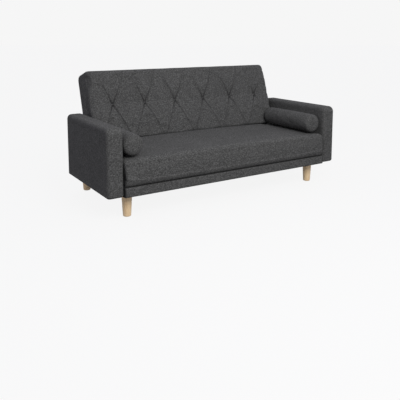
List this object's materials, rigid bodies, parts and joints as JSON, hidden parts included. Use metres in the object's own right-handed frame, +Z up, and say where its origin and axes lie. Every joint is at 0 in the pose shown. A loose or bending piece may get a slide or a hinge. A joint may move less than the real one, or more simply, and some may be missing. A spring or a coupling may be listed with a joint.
{
  "type": "sofa bed",
  "caption": "Bench-seat sofa bed with slab arms, round bolsters, tapered wooden legs and a tufted back that folds down flat on a ratchet hinge.",
  "frame": {"origin": "on the floor, at the middle of the overall box with the back upright", "axes": "+X across the sofa, to the right as seen from the front; +Y to the back; +Z up"},
  "size_m": [1.9, 0.8943, 0.8904],
  "materials": {
    "fabric": "charcoal melange woven upholstery",
    "cover_lining": "black nonwoven cloth and webbing",
    "foam": "cut polyurethane foam and fibre filling",
    "leg_wood": "pale hardwood, clear satin lacquer",
    "frame_timber": "planed softwood and plywood",
    "steel": "zinc-grey coated steel",
    "spring_steel": "drawn spring wire",
    "plastic": "moulded, dull"
  },
  "bodies": {
    "base": {"base_front_rail": "frame_timber", "base_rear_rail": "frame_timber", "base_side_rail_left": "frame_timber", "base_side_rail_right": "frame_timber", "base_cross_rails": "frame_timber", "leg_blocks": "frame_timber", "base_front_band": "fabric", "dust_cover": "cover_lining", "rear_deck_panel": "fabric", "back_bumpers": "plastic", "leg_front_left": "leg_wood", "leg_front_right": "leg_wood", "leg_rear_left": "leg_wood", "leg_rear_right": "leg_wood", "leg_glides": "plastic", "hanger_bolts": "steel", "leg_tee_nuts": "steel", "seat_front_rail": "frame_timber", "seat_rear_rail": "frame_timber", "seat_side_rails": "frame_timber", "seat_springs": "spring_steel", "spring_clips": "steel", "seat_foam": "foam", "seat_cover": "fabric", "arm_frame_left": "frame_timber", "arm_frame_right": "frame_timber", "arm_cover_left": "fabric", "arm_cover_right": "fabric", "arm_board_left": "frame_timber", "arm_board_right": "frame_timber", "arm_bolts": "steel", "hinge_seat_bracket_left": "steel", "hinge_seat_bracket_right": "steel", "hinge_pin_left": "steel", "hinge_pin_right": "steel", "ratchet_plate_left": "steel", "ratchet_plate_right": "steel", "seat_bracket_screws": "steel"},
    "backrest": {"back_top_rail": "frame_timber", "back_bottom_rail": "frame_timber", "back_stiles": "frame_timber", "back_webbing": "cover_lining", "back_foam": "foam", "back_cover": "fabric", "back_rear_panel": "fabric", "back_bracket_screws": "steel", "tuft_buttons": "fabric", "hinge_back_bracket_left": "steel", "hinge_back_bracket_right": "steel", "pawl_springs": "steel"},
    "pawl_left": {"pawl_left": "steel"},
    "pawl_right": {"pawl_right": "steel"},
    "bolster_left": {"bolster_cover_left": "fabric", "bolster_filling_left": "foam"},
    "bolster_right": {"bolster_cover_right": "fabric", "bolster_filling_right": "foam"}
  },
  "joints": [
    {"name": "back_fold", "type": "hinge", "parent": "base", "child": "backrest", "pos_m": [0, 0.16434, 0.347], "axis": [-1, 0, 0], "range_deg": [0, 72]},
    {"name": "pawl_drop_left", "type": "hinge", "parent": "backrest", "child": "pawl_left", "pos_m": [-0.8206, 0.21212, 0.38405], "axis": [1, 0, 0], "range_deg": [0, 9]},
    {"name": "pawl_drop_right", "type": "hinge", "parent": "backrest", "child": "pawl_right", "pos_m": [0.8206, 0.21212, 0.38405], "axis": [1, 0, 0], "range_deg": [0, 9]},
    {"name": "bolster_lift_left", "type": "slide", "parent": "base", "child": "bolster_left", "axis": [0, 0, 1], "range_m": [0, 0.35]},
    {"name": "bolster_lift_right", "type": "slide", "parent": "base", "child": "bolster_right", "axis": [0, 0, 1], "range_m": [0, 0.35]}
  ]
}
